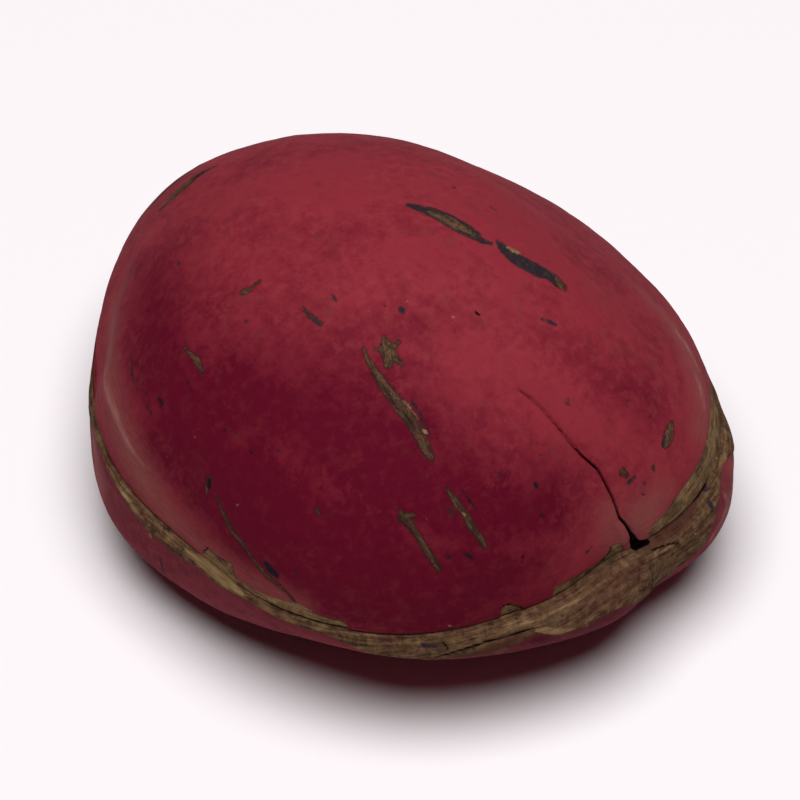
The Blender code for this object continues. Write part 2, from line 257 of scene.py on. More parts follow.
# The marks by kind. A half width below nothing makes a mark weaker, down to a faint tint.
UPPER_MARKS = {
    "olive": (
        ((418, 208, 0.20), (429, 210.5, 0.40), (441, 216, 0.46), (451, 221.5, 0.50), (463, 229, 0.48),
         (473, 235, 0.38), (481, 240, 0.2)),
        ((497, 240, 0.14), (504, 246, 0.2)),
        ((547, 272, 0.30), (554, 279, 0.48), (561, 286, 0.38), (565, 290, 0.12)),
        ((363, 348, 0.10), (372, 368, 0.20), (382, 383, 0.30), (396, 401, 0.38), (408, 416, 0.40),
         (418, 432, 0.36), (425, 447, 0.34), (431, 457, 0.22)),
        ((384, 336, 0.12), (387, 347, 0.40), (390, 357, 0.46), (388, 365, 0.26)),
        ((375, 349, 0.10), (386, 350, 0.26)),
        ((399, 342, 0.12), (390, 350, 0.26)),
        ((403, 365, 0.08), (393, 358, 0.24)),
        ((400, 510, 0.10), (404, 519, 0.30), (411, 526, 0.26), (420, 540, 0.20), (430, 556, 0.22),
         (438, 568, 0.17), (441, 572, 0.05)),
        ((404, 517, 0.26), (414, 515, 0.12)),
        ((447, 487, 0.08), (453, 499, 0.20), (464, 513, 0.23), (474, 530, 0.23), (482, 542, 0.24),
         (485, 547, 0.14)),
        ((449, 511, 0.10), (454, 516, 0.12)),
        ((209, 476, 0.12), (208, 485, 0.18), (206, 492, 0.12)),
        ((217, 498, 0.05), (221, 509, 0.12), (226.6, 520, 0.15), (232, 531.6, 0.18),
         (240.7, 541, 0.17), (249, 553, 0.12), (257.5, 565, 0.14), (267, 576.5, 0.16),
         (278.6, 585, 0.14), (287, 593, 0.10), (295, 602, 0.08)),
        ((184, 347, 0.07), (190, 354, 0.15), (197, 361, 0.24), (200, 367, 0.20), (204, 373, 0.09)),
        ((162, 209, 0.2), (172, 199, 0.4), (183, 191, 0.5), (199, 178.5, 0.4), (217, 169.5, 0.15)),
        ((150, 208, 0.1), (163, 194, 0.3), (184, 179, 0.3), (204, 167, 0.2)),
        ((671, 425, 0.22), (668.8, 435, 0.44), (666, 444, 0.30)),
        ((173, 487, -0.04), (176, 494, 0.0)),
        ((553, 498, -0.04), (556, 507, -0.02)),
        ((178, 262, 0.06), (179.5, 264, 0.10)),
        ((241, 293, 0.12), (246, 291, 0.24), (251, 289, 0.12)),
        ((252, 287, 0.10), (259, 282, 0.14)),
        ((303, 308, 0.08), (311, 316, 0.14), (321, 324, 0.10)),
        ((244, 320, 0.05), (247, 322, 0.05)),
        ((623, 472, 0.24), (627, 476, 0.14)),
        ((292, 571, 0.05), (295, 572, 0.05)),
        ((317, 510, 0.12), (318, 514, 0.14)),
    ),
    "ink": (
        ((408, 204.5, 0.16), (416, 206.5, 0.34), (424, 209, 0.28)),
        ((427, 207, 0.12), (441, 211.5, 0.12), (452, 216, 0.12), (466, 224, 0.14), (478, 233, 0.16)),
        ((426, 213, 0.12), (440, 220, 0.06), (456, 230, 0.06), (474, 239, 0.10)),
        ((475, 237, 0.14), (483, 241, 0.28), (491, 244, 0.14)),
        ((498, 243, 0.14), (506, 251, 0.38), (516, 258, 0.54), (527, 265, 0.60), (539, 271, 0.60),
         (549, 276, 0.38), (556, 283, 0.08)),
        ((411, 400, 0.04), (419, 412, 0.06), (427, 428, 0.06), (431, 438, 0.04)),
        ((266, 564, 0.18), (271, 570, 0.28), (276, 575, 0.20)),
        ((541, 319, 0.04), (549, 322, 0.12), (556, 325, 0.05)),
        ((401, 309, 0.20), (403, 312, 0.12)),
        ((628, 483, 0.10), (631, 480, 0.15), (635, 476, 0.10)),
        ((209, 479, 0.10), (209, 487, 0.12)),
        ((461, 489, 0.02), (469, 500, 0.05), (477, 511, 0.02)),
        ((535, 484, 0.12), (537, 487, 0.12)),
        ((448, 558, 0.10), (450, 557, 0.08)),
        ((465, 553, 0.10), (472, 558, 0.08)),
        ((524, 429, 0.08), (525, 430, 0.06)),
        ((567, 400, 0.10), (569, 404, 0.12)),
        ((500, 473, 0.08), (500, 477, 0.07)),
        ((535, 365, 0.06), (536, 366, 0.05)),
        ((570, 376, 0.06), (571, 377, 0.05)),
        ((653, 466, 0.14), (654, 469, 0.12)),
        ((642.6, 483, 0.07), (644.6, 484, 0.07)),
        ((586, 553, 0.09), (588, 551, 0.09)),
        ((591, 547, 0.06), (593, 546, 0.06)),
        ((454, 188, 0.07), (455, 189, 0.05)),
        ((491, 207, 0.05), (497, 211, 0.06)),
        ((158, 398, 0.05), (163, 403, 0.10), (160, 407, 0.05)),
        ((147, 407, 0.05), (150, 410, 0.09), (152, 415, 0.05)),
        ((132, 350, 0.02), (131.6, 361, 0.09), (131.8, 372, 0.11), (133, 383, 0.02)),
        ((540, 454, 0.06), (543, 455, 0.08)),
        ((541, 515, 0.05), (543, 517, 0.06)),
        ((251, 452, 0.07), (252.5, 454, 0.05)),
        ((463, 442, 0.05), (465, 443, 0.05)),
        ((332, 295, 0.05), (334, 298, 0.10), (336, 301, 0.06)),
        ((306, 312, 0.07), (315, 320, 0.08), (320, 325, 0.12)),
        ((663, 445, 0.14), (664, 437, 0.10)),
        ((185, 380, 0.04), (188.5, 384, 0.05)),
        ((191, 390, 0.04), (192, 392, 0.05)),
        ((626, 398, 0.04), (627, 402, 0.05)),
        ((649, 416, 0.07), (651, 418, 0.06)),
        ((277, 450, 0.06), (279, 451, 0.05)),
        ((224, 429, 0.07), (224.5, 431, 0.06)),
        ((693, 411, 0.03), (694, 412, 0.03)),
    ),
    "pale": (
        ((508, 247.5, 0.14), (515, 251, 0.20), (521, 254, 0.10)),
        ((402, 399, 0.05), (410, 408, 0.07), (418, 419, 0.05)),
        ((424, 431, 0.13), (427, 433, 0.09)),
        ((462, 512, 0.07), (465, 515, 0.06)),
        ((449.5, 625.5, 0.10), (451.5, 626, 0.08)),
        ((504, 420, 0.06), (506, 422, 0.05)),
        ((431, 225, 0.05), (433, 226, 0.04)),
        ((237.6, 505, 0.05), (238.4, 505, 0.05)),
        ((195, 438, 0.07), (196, 438.6, 0.05)),
        ((425, 517, 0.03), (430, 523, 0.03)),
        ((311.5, 177, 0.05), (312, 177.5, 0.04)),
        ((363.5, 171, 0.05), (364, 171.4, 0.04)),
        ((401.8, 169.3, 0.04), (402.4, 169.8, 0.04)),
        ((441, 233, 0.05), (442, 233.6, 0.04)),
        ((408, 232, 0.03), (409, 232.6, 0.04)),
        ((404, 303.5, 0.03), (408, 301, 0.05)),
        ((144.8, 367, 0.04), (145.4, 367.6, 0.04)),
        ((201, 441.6, 0.04), (202, 442, 0.03)),
        ((169, 447, 0.04), (170, 449, 0.04)),
        ((166, 457.5, 0.04), (167.6, 456, 0.05)),
        ((179, 457.5, 0.03), (181.5, 458.6, 0.05)),
        ((451, 318, 0.05), (453.6, 316.6, 0.06)),
        ((184.2, 347.2, 0.04), (185.4, 348.6, 0.04)),
    ),
    # Painted shade: near black in cracks, under torn edges and in small pits, which the relief also
    # sinks.
    "dark": (
        ((195.5, 551, 0.03), (203, 552, 0.04), (207, 548, 0.04), (218, 557, 0.04), (231, 565, 0.05),
         (232.3, 571, 0.05), (234.4, 578, 0.05), (239, 586, 0.05), (244, 592, 0.05)),
        ((612, 547, 0.05), (609.7, 555, 0.05), (604.8, 560, 0.04), (600, 564, 0.02)),
        ((499.6, 610, 0.03), (505, 606, 0.04), (509.5, 604.4, 0.04), (516, 606.4, 0.04),
         (523, 609, 0.03)),
        ((476, 312, 0.14), (479, 314.5, 0.12)),
        ((643, 494, 0.06), (644.5, 495.5, 0.06)),
        ((384, 305, 0.05), (386, 306, 0.05)),
        ((523.6, 554, 0.03), (522.8, 563, 0.03)),
    ),
    # Painted sheen: the pale reflection of the floor along the flanks and the far edge, and a painted
    # highlight by the foot of the cleft.
    "painted_sheen": (
        ((104, 300, -0.4), (106, 350, 0.4), (112, 400, 0.5), (124, 440, 0.6), (142, 478, 0.8),
         (168, 516, 0.5), (205, 552, 0.2), (255, 583, -0.2), (300, 603, -0.4)),
        ((250, 149, -1.4), (340, 139, -1.2), (450, 166, -1.2), (540, 214, -1.2), (620, 272, -1.4)),
        ((630, 282, -0.6), (672, 325, 0.1), (694, 368, 0.3), (702, 400, 0.2), (701, 430, 0.0)),
        ((658, 500, 0.2), (642, 520, 1.0), (648, 528, 0.8)),
        ((606, 508, -0.4), (617, 530, 0.5), (622, 544, 0.4)),
    ),
    # Painted highlights: thin pale streaks along soft ridges on the left flank and the right-hand
    # edge, which the relief also raises a little.
    "streak": (
        ((99, 346, -0.1), (101, 364, 0.10), (107, 390, 0.20), (117, 418, 0.20), (128, 444, 0.10),
         (144, 468, -0.1)),
        ((676, 331, 0.0), (684, 343, 0.12), (693, 358, 0.10), (698, 370, 0.0)),
        ((695, 376, 0.0), (701, 390, 0.14), (704, 408, 0.0)),
    ),
    # Lighter, pinker skin: painted light over the top, and by the foot of the cleft partly the skin's
    # own paler colour, partly painted highlight.
    "pink_and_painted_light": (
        ((560, 430, 0.0), (590, 470, 0.2), (603, 500, 0.6), (618, 535, 1.0), (600, 552, 0.5)),
        ((642, 535, 0.6), (650, 515, 0.8), (665, 490, 0.6), (684, 455, 0.3), (690, 420, 0.0)),
        ((300, 190, 1.0), (440, 190, 1.5), (540, 260, 1.0), (600, 310, 0.0)),
        ((400, 270, 1.0), (500, 320, 1.0), (560, 380, 0.5)),
    ),
    # Darker crimson: partly a deeper tone, partly painted shade over the low front, which faces away
    # from the light.
    "deep": (
        ((150, 285, 0.0), (158, 345, 1.0), (195, 430, 2.2), (260, 510, 2.8), (350, 565, 2.8),
         (440, 590, 1.8), (510, 575, 0.8)),
        ((230, 390, 1.0), (320, 420, 1.6), (400, 470, 1.8), (480, 525, 1.2), (545, 500, 0.4)),
        ((410, 330, -3.0), (490, 310, -3.4), (580, 360, -3.4), (640, 400, -2.8), (680, 430, -3.2)),
    ),
    "gold": (
        ((203, 556, 0.10), (212, 561, 0.26), (224, 571, 0.28), (233, 581, 0.20), (242, 589, 0.10)),
        ((713, 384, 0.06), (716, 408, 0.12), (714, 436, 0.12), (707, 463, 0.12), (696, 486, 0.06)),
        ((253, 590, 0.05), (280, 601, 0.10), (310, 612, 0.06)),
    ),
}
LOWER_MARKS = {
    "pale": (
        ((402, 658.5, 0.10), (420, 661, 0.14), (440, 661.5, 0.10)),
        ((537, 630.5, 0.16), (548, 630.5, 0.26), (562, 631.5, 0.22), (575, 629, 0.10)),
        ((694, 533.2, 0.09), (695.2, 533.6, 0.08)),
        ((149, 534, 0.14), (149.6, 538, 0.12)),
        ((132.6, 530, 0.05), (133, 530.4, 0.04)),
    ),
    # Painted shade: near black in the ledge's cracks, the lower's own cleft and the gap under the lip.
    "dark": (
        ((652, 550, 0.06), (665.4, 545.7, 0.05), (676, 543.3, 0.05), (680, 544.5, 0.02)),
        ((436, 657.5, 0.02), (441.6, 656, 0.05), (466.4, 649.5, 0.06), (486, 643, 0.06),
         (508, 637, 0.06), (526, 631, 0.06), (539, 627, 0.04)),
        ((653.3, 578, 0.04), (652.6, 584, 0.06), (651.6, 590, 0.07), (649.7, 593.5, 0.07)),
        ((443.2, 643.7, 0.04), (446, 646, 0.05), (448.2, 650, 0.04)),
        ((514.5, 620, 0.03), (517.5, 616.5, 0.04), (523, 612, 0.03)),
        ((708, 477, 0.05), (703, 487, 0.08), (697, 496, 0.08), (692, 503, 0.04)),
    ),
    # Darker red-brown on the ledge just below the rim and below the cleft's lip: partly the ledge's
    # own colour, partly painted shade under the overhang.
    "under": (
        ((447, 658.5, 0.14), (470, 656.5, 0.32), (495, 649, 0.34), (515, 640, 0.28), (530, 634, 0.12)),
        ((648, 546, 0.14), (665, 536, 0.42), (680, 524, 0.46), (690, 510, 0.42), (698, 496, 0.26)),
    ),
    "ink": (
        ((158.6, 557, 0.05), (160.7, 566, 0.13), (164, 576, 0.07)),
        ((205.6, 596, 0.06), (208.4, 599, 0.07)),
        ((238.5, 611.5, 0.05), (241, 612.4, 0.11), (244.4, 613.8, 0.05)),
        ((583, 635, 0.06), (585, 635.8, 0.06)),
        ((727, 487.6, 0.05), (728, 488.4, 0.05)),
        ((730.6, 488.5, 0.10), (731, 490, 0.08)),
        ((727.4, 497, 0.06), (728, 499, 0.06)),
        ((424, 646, 0.16), (436, 647, 0.12)),
        ((703, 486, 0.22), (704, 490, 0.14)),
        ((708, 503, 0.14), (711, 507, 0.16)),
    ),
    # A painted highlight streak on the lower's right side.
    "streak": (
        ((722.4, 494, 0.02), (723.6, 504, 0.06), (718.7, 518.5, 0.08), (711.5, 533, 0.06),
         (707.8, 542.7, 0.02)),
    ),
    # Painted sheen: the pale reflection of the floor on the lower's flanks.
    "painted_sheen": (
        ((731, 440, 0.7), (731, 480, 0.8), (727, 510, 0.8), (714, 545, 0.5), (697, 570, 0.2)),
        ((92, 440, 0.4), (97, 480, 0.5), (110, 520, 0.0), (125, 545, -0.8)),
        ((605, 630, -0.4), (625, 620, 0.2), (645, 606, 0.2), (655, 594, -0.4)),
    ),
    # Painted shade: the lower's front and belly darkened towards the floor, where shadow falls.
    "deep": (
        ((250, 628, 0.0), (330, 650, 0.5), (400, 672, 1.0), (480, 674, 1.0), (530, 656, 0.8),
         (578, 642, 0.2)),
        ((540, 612, 0.0), (600, 592, 0.6), (640, 568, 0.2)),
    ),
    "gold": (
        ((186, 551, 0.06), (201, 561, 0.26), (216, 573, 0.34), (229, 583, 0.32), (243, 594, 0.10)),
        ((713, 384, 0.04), (716, 408, 0.10), (715, 436, 0.08), (708, 463, 0.0)),
        ((96, 440, -0.04), (112, 474, 0.03), (128, 498, 0.03), (150, 526, -0.04)),
        ((500, 634, 0.02), (540, 618, 0.06), (575, 602, 0.05), (612, 578, 0.02)),
    ),
}
MARK_KINDS = (
    "olive", "ink", "pale", "brown", "dark", "under", "gold", "streak", "painted_sheen", "pink_and_painted_light", "deep",
)
SOFT_MARKS = ("painted_sheen", "pink_and_painted_light", "deep")


def to_array(points):
    return np.array(points, float)


def around(azimuth, stations):
    """A smooth closed curve through equally spaced stations, read at azimuths in radians."""
    values = to_array(stations)
    count = len(values)
    place = azimuth / (2 * math.pi) * count % count
    first = place.astype(int)
    t = place - first
    a, b, c, d = (values[(first + step) % count] for step in (-1, 0, 1, 2))
    curve = 2 * b + (c - a) * t + (2 * a - 5 * b + 4 * c - d) * t**2
    return (curve + (3 * b - a - 3 * c + d) * t**3) / 2


def degrees_from(azimuth, centre):
    """How far azimuths in radians lie from a centre in degrees, the short way round."""
    return (np.degrees(azimuth) - centre + 180) % 360 - 180


def hollow(azimuth, centre, breadth, depth):
    """A soft-edged hollow at one place round the nut."""
    return depth * np.exp(-((degrees_from(azimuth, centre) / breadth) ** 2))


def crown_radius(azimuth, climb=0.0):
    """The outer edge of the seam, with a dent that fades on the way up to the crown."""
    return around(azimuth, SEAM_RADII) - hollow(azimuth, *RIM_DENT) * np.cos(climb * math.pi / 2) ** 2


def domed(azimuth, climb, radius, height, roundness, fullness, offset):
    """Points on a domed outside, and how far out and up they are as shares of the whole."""
    turn = climb * math.pi / 2
    outward = np.maximum(0.0, np.cos(turn)) ** roundness[0]
    upward = np.sin(turn) ** roundness[1]
    reach = radius * outward * (1 + around(azimuth, fullness) * np.sin(2 * turn) ** 2)
    x = reach * np.cos(azimuth) + offset[0] * upward**2
    y = reach * np.sin(azimuth) + offset[1] * upward**2
    return np.stack([x, y, height * upward], -1), outward, upward


def crown_point(azimuth, climb):
    """The upper cotyledon's outside, from its rim, climb 0, to its crown, climb 1."""
    shape = (CROWN_HEIGHT, CROWN_ROUNDNESS, CROWN_FULLNESS, CROWN_OFFSET)
    points, outward, upward = domed(azimuth, climb, crown_radius(azimuth, climb), *shape)
    points[:, 2] += RIM_HEIGHT * (1 - upward)
    points[:, 2] += around(azimuth, SEAM_HEIGHTS) * outward
    return points


def belly_point(azimuth, climb):
    """The lower cotyledon's outside, from its shoulder, climb 0, to its foot, climb 1."""
    ledge = around(azimuth, LEDGE_WIDTHS)
    notch = hollow(azimuth, *BELLY_NOTCH) * np.cos(climb * math.pi / 2) ** 2
    radius = around(azimuth, SEAM_RADII) + ledge - notch
    shape = (-BELLY_DEPTH, BELLY_ROUNDNESS, BELLY_FULLNESS, BELLY_OFFSET)
    points, outward, upward = domed(azimuth, climb, radius, *shape)
    shoulder = around(azimuth, SEAM_HEIGHTS) * outward - LEDGE_LEAST_DROP - LEDGE_SLOPE * ledge
    points[:, 2] += shoulder * (1 - upward)
    return points


def seam_point(azimuth, reach, above_seam):
    """Points near the seam's plane, at a reach from its middle."""
    heights = above_seam + around(azimuth, SEAM_HEIGHTS)
    return np.stack([reach * np.cos(azimuth), reach * np.sin(azimuth), heights], -1)


def cleft_centre(climb):
    """Where the cleft runs at a share of the way to the crown, in degrees round the nut."""
    climbs, degrees = zip(*CLEFT_PATH)
    return np.interp(climb, climbs, degrees)


def column_azimuths(count, climb, bend):
    """Azimuths of a ring's columns, crowded at the cleft and, if bent, following it."""
    azimuth = np.arange(count) / count * 2 * math.pi
    azimuth = azimuth - FRONT_CROWDING * (np.sin(azimuth - FRONT_AZIMUTH) + math.sin(FRONT_AZIMUTH))
    off = degrees_from(azimuth, 0)
    crowded = off * (1 - COLUMN_CROWDING * np.exp(-((off / CROWDED_DEGREES) ** 2)))
    bent = cleft_centre(climb) * np.exp(-((off / BENT_DEGREES) ** 2)) * bend
    return np.radians(crowded + bent)


def columns_at(climb):
    """How many columns a ring has: halved again and again towards the pole."""
    return FINEST_COLUMNS // 2 ** sum(climb >= limit for limit in HALVED_AT)


class Cotyledon:
    """Rings of points from one pole to the other, with their azimuth and distance from the seam."""

    def __init__(self):
        self.rings = []
        self.azimuths = []

    def add_ring(self, points, azimuths):
        self.rings.append(points)
        self.azimuths.append(azimuths)

    def turn_inwards(self):
        """Says that the rings that follow lie between the two halves."""
        self.first_inside = sum(len(ring) for ring in self.rings)

    def join(self, upwards):
        """Joins all rings into points, faces that look outwards, and a surface to cast rays on."""
        starts = np.cumsum([0] + [len(ring) for ring in self.rings])
        faces = []
        for index in range(len(self.rings) - 1):
            faces += ring_faces(starts[index], len(self.rings[index]),
                                starts[index + 1], len(self.rings[index + 1]))
        self.points = np.concatenate(self.rings)
        self.faces = [face[::-1] for face in faces] if upwards else faces
        self.surface = BVHTree.FromPolygons(self.points.tolist(), self.faces)


def ring_faces(a, count_a, b, count_b):
    """Faces between two rings that start at vertices a and b, one perhaps half as fine."""
    if count_a == 1 or count_b == 1:
        tip, start, count = (a, b, count_b) if count_a == 1 else (b, a, count_a)
        fan = [(tip, start + i, start + (i + 1) % count) for i in range(count)]
        return fan if count_a == 1 else [face[::-1] for face in fan]
    if count_a == count_b:
        return [(a + i, b + i, b + (i + 1) % count_b, a + (i + 1) % count_a) for i in range(count_a)]
    if count_a < count_b:
        return [face[::-1] for face in ring_faces(b, count_b, a, count_a)]
    faces = []
    for i in range(count_b):
        left, middle, right = a + 2 * i, a + 2 * i + 1, a + (2 * i + 2) % count_a
        near, far = b + i, b + (i + 1) % count_b
        faces += [(left, near, middle), (middle, near, far), (middle, far, right)]
    return faces


def upper_rings():
    """The upper cotyledon from its crown, over its rim, to the middle of its inner face."""
    body = Cotyledon()
    body.add_ring(crown_point(np.zeros(1), np.ones(1)), np.zeros(1))
    for row in range(CROWN_ROWS - 1, -1, -1):
        climb = row / CROWN_ROWS
        azimuth = column_azimuths(columns_at(climb), climb, 1)
        body.add_ring(crown_point(azimuth, np.full(len(azimuth), climb)), azimuth)
    edge = crown_radius(azimuth)
    for row in range(1, RIM_ROWS + 1):
        turn = row / RIM_ROWS * math.pi / 2
        reach = edge - RIM_ROUNDING * (1 - math.cos(turn))
        body.add_ring(seam_point(azimuth, reach, RIM_HEIGHT - RIM_ROUNDING * math.sin(turn)), azimuth)
    body.turn_inwards()
    body.add_ring(seam_point(azimuth, edge - TUCK, RIM_HEIGHT - RIM_ROUNDING), azimuth)
    add_inner_face(body, edge - TUCK - SEAM_GAP, SEAM_GAP / 2)
    body.join(upwards=False)
    return body


def lower_rings():
    """The lower cotyledon from its foot, over its ledge, to the middle of its inner face."""
    body = Cotyledon()
    body.add_ring(belly_point(np.zeros(1), np.ones(1)), np.zeros(1))
    for row in range(BELLY_ROWS - 1, -1, -1):
        climb = (row / BELLY_ROWS) ** BELLY_ROW_CROWDING
        azimuth = column_azimuths(columns_at(climb), climb, 0)
        body.add_ring(belly_point(azimuth, np.full(len(azimuth), climb)), azimuth)
    shoulder = body.rings[-1]
    edge = ledge_top(azimuth)
    centre = np.stack([edge[:, 0], edge[:, 1], shoulder[:, 2]], -1)
    for row in range(1, LEDGE_ROWS + 1):
        turn = row / LEDGE_ROWS * math.pi / 2
        arc = centre + (shoulder - centre) * math.cos(turn) + (edge - centre) * math.sin(turn)
        body.add_ring(arc, azimuth)
    body.turn_inwards()
    add_inner_face(body, crown_radius(azimuth) - TUCK - SEAM_GAP, -SEAM_GAP / 2)
    body.join(upwards=True)
    return body


def ledge_top(azimuth):
    """Where the ledge meets the upper cotyledon, just under and inside its rim."""
    top = RIM_HEIGHT - RIM_ROUNDING - around(azimuth, SEAM_OPENING)
    return seam_point(azimuth, crown_radius(azimuth) - TUCK, top)


def add_inner_face(body, reach, level):
    """Coarser and coarser rings across the face that lies against the other half."""
    azimuth = body.azimuths[-1]
    for row in range(INNER_ROWS):
        share = 1 - row / INNER_ROWS
        points = seam_point(azimuth, share * reach, 0)
        points[:, 2] = level + share * around(azimuth, SEAM_HEIGHTS)
        body.add_ring(points, azimuth)
        azimuth, reach = azimuth[::2], reach[::2]
    body.add_ring(np.array([[0.0, 0.0, level]]), np.zeros(1))


class Camera:
    """The photo's camera in the millimetres of the form, and the rays and pixels it sees."""

    def __init__(self):
        a, e = CAMERA_AZIMUTH, CAMERA_ELEVATION
        self.back = to_array((math.sin(a) * math.cos(e), -math.cos(a) * math.cos(e), math.sin(e)))
        self.right = to_array((math.cos(a), math.sin(a), 0))
        self.up = np.cross(self.back, self.right)
        self.focal = PIXELS_PER_MM * CAMERA_DISTANCE
        aside = (IMAGE_SIZE / 2 - SEAM_CENTRE_PIXEL[0]) / PIXELS_PER_MM
        above = (SEAM_CENTRE_PIXEL[1] - IMAGE_SIZE / 2) / PIXELS_PER_MM
        self.eye = self.back * CAMERA_DISTANCE + self.right * aside + self.up * above

    def ray(self, x, y):
        """The direction in which a pixel looks."""
        across = (x - IMAGE_SIZE / 2) / self.focal
        down = (y - IMAGE_SIZE / 2) / self.focal
        return self.right * across - self.up * down - self.back


CAMERA = Camera()


def cast(bodies, x, y):
    """The nearest point of some cotyledons that a pixel of the photo shows, or None beside them."""
    eye, ray = Vector(CAMERA.eye), Vector(CAMERA.ray(x, y))
    hits = [body.surface.ray_cast(eye, ray) for body in bodies]
    hits = [(distance, point) for point, normal, face, distance in hits if point is not None]
    return to_array(min(hits, key=lambda hit: hit[0])[1]) if hits else None


def cast_strokes(bodies, strokes):
    """Pixel strokes as strokes of (point, half width) on cotyledons, all in millimetres."""
    cast_all = []
    for stroke in strokes:
        found = [(cast(bodies, x, y), width) for x, y, width in stroke]
        cast_all.append([(point, width) for point, width in found if point is not None])
    return cast_all


class Strokes:
    """How each point lies to the nearest of some strokes: inside its edge, along it and across."""

    def __init__(self, points, strokes, far=-FAR):
        self.inside = np.full(len(points), far)
        self.along = np.zeros(len(points))
        self.across = np.zeros(len(points))
        for number, stroke in enumerate(strokes):
            travelled = number * STROKE_SPACING
            for (start, wide), (end, narrow) in zip(stroke, stroke[1:]):
                self.add(points, start, end, wide, narrow, travelled, far)
                travelled += np.linalg.norm(end - start)

    def add(self, points, start, end, wide, narrow, travelled, far):
        step = end - start
        length = max(np.linalg.norm(step), 1e-6)
        reach = length / 2 + max(wide, narrow) - far
        near = np.flatnonzero(np.linalg.norm(points - (start + end) / 2, axis=1) < reach)
        away = points[near] - start
        share = np.clip(away @ step / length**2, 0, 1)
        side = away - share[:, None] * step
        inside = wide + (narrow - wide) * share - np.linalg.norm(side, axis=1)
        won = inside > self.inside[near]
        chosen = near[won]
        self.inside[chosen] = inside[won]
        self.along[chosen] = travelled + share[won] * length
        self.across[chosen] = (np.cross(step / length, side) @ CAMERA.back)[won]


def add_mesh(name, body):
    """A smooth mesh of a cotyledon, still in millimetres about the middle of the seam."""
    mesh = bpy.data.meshes.new(name)
    mesh.from_pydata(body.points.tolist(), [], body.faces)
    mesh.shade_smooth()
    piece = bpy.data.objects.new(name, mesh)
    bpy.context.scene.collection.objects.link(piece)
    return piece


def normals_of(mesh):
    values = np.zeros(len(mesh.vertices) * 3, np.float32)
    mesh.vertex_normals.foreach_get("vector", values)
    return values.reshape(-1, 3).astype(float)


def store(mesh, name, values):
    """Keeps numbers or vectors on the vertices under a name that the materials read."""
    kind, key = ("FLOAT", "value") if values.ndim == 1 else ("FLOAT_VECTOR", "vector")
    attribute = mesh.attributes.new(name, kind, "POINT")
    attribute.data.foreach_set(key, values.astype(np.float32).ravel())


def ramp(values, low, high):
    """0 up to low, 1 from high, smooth between."""
    share = np.clip((values - low) / (high - low), 0, 1)
    return share * share * (3 - 2 * share)


def rough(points, per_mm, octaves=2):
    """Smooth noise from about -1 to 1, with so many bumps in a millimetre."""
    return to_array([noise.fractal(Vector(point), 1.0, 2.0, octaves) for point in points * per_mm])


def azimuths_of(points):
    return np.arctan2(points[:, 1], points[:, 0])


def distance_from_seam(points):
    """How far points lie from the seam, straight from the ledge's top edge."""
    return np.linalg.norm(points - ledge_top(azimuths_of(points)), axis=1)


def band_width(azimuth, body, edge, blend, elsewhere):
    """How far a band reaches from the seam: to its edge in the photo, and elsewhere as given."""
    hits = [cast((body,), x, y) for x, y in edge]
    hits = to_array([hit for hit in hits if hit is not None])
    places = azimuths_of(hits)
    order = np.argsort(places)
    seen = np.interp(azimuth, places[order], distance_from_seam(hits)[order])
    first, last = places.min(), places.max()
    shown = ramp(azimuth, first, first + blend) * ramp(-azimuth, -last, blend - last)
    return elsewhere + (seen - elsewhere) * shown


def ledge_inside(body, distance):
    """How far each point lies inside the brown ledge, which ends at the shoulder where unseen."""
    azimuth = azimuths_of(body.points)
    shoulder = distance_from_seam(belly_point(azimuth, np.zeros(len(azimuth))))
    return band_width(azimuth, body, BAND_EDGE, BAND_BLEND, shoulder) - distance


def rim_inside(body, distance):
    """How far each point lies inside the brown stretches of the rim, with some on the far side."""
    azimuth = azimuths_of(body.points)
    ring = np.stack([np.cos(azimuth), np.sin(azimuth), 0 * azimuth], -1)
    unseen = ramp(-ring @ CAMERA.back, 0.0, 0.3)
    width = RIM_LEAST + RIM_HIDDEN * unseen * ramp(rough(ring, 2.5), -0.1, 0.4)
    for edge in RIM_BANDS:
        width = band_width(azimuth, body, edge, RIM_BLEND, width)
    return width - distance


def fibre_place(points, distance):
    """A place in which noise makes streaks that run along the seam."""
    azimuth = azimuths_of(points)
    ring = SEAM_RADII[0]
    return np.stack([ring * np.cos(azimuth), ring * np.sin(azimuth), distance * FIBRE_STRETCH], -1)


def add_fields(mesh, points, strokes, distance, brown):
    """Stores each kind of mark and the fibre direction, and returns the fields by kind."""
    fields = {}
    fibre = fibre_place(points, distance)
    for kind in MARK_KINDS:
        found = Strokes(points, strokes[kind], -SOFT_FAR if kind in SOFT_MARKS else -FAR)
        fields[kind] = found.inside
        if kind == "olive":
            within = found.inside > -SCAR_HALO
            strands = np.stack([found.along, found.across * SCAR_STRETCH, found.along * 0], -1)
            fibre[within] = strands[within]
    fields["brown"] = np.maximum(fields["brown"], brown)
    for kind, values in fields.items():
        store(mesh, kind, values)
    store(mesh, "fibre", fibre)
    fields["fibre"] = fibre
    return fields


def scar_relief(fields):
    """What the marks add to the skin: a little proud at the scars, with sunk edges and cracks."""
    olive = fields["olive"]
    relief = 0.03 * ramp(olive, 0.0, 0.15) - 0.03 * np.exp(-((olive / 0.07) ** 2))
    relief += 0.02 * ramp(fields["pale"], -0.02, 0.08) + 0.04 * ramp(fields["streak"], -0.5, 0.2)
    relief -= 0.03 * ramp(fields["ink"], -0.05, 0.1)
    relief -= 0.16 * ramp(fields["dark"], -0.05, 0.04)
    return relief


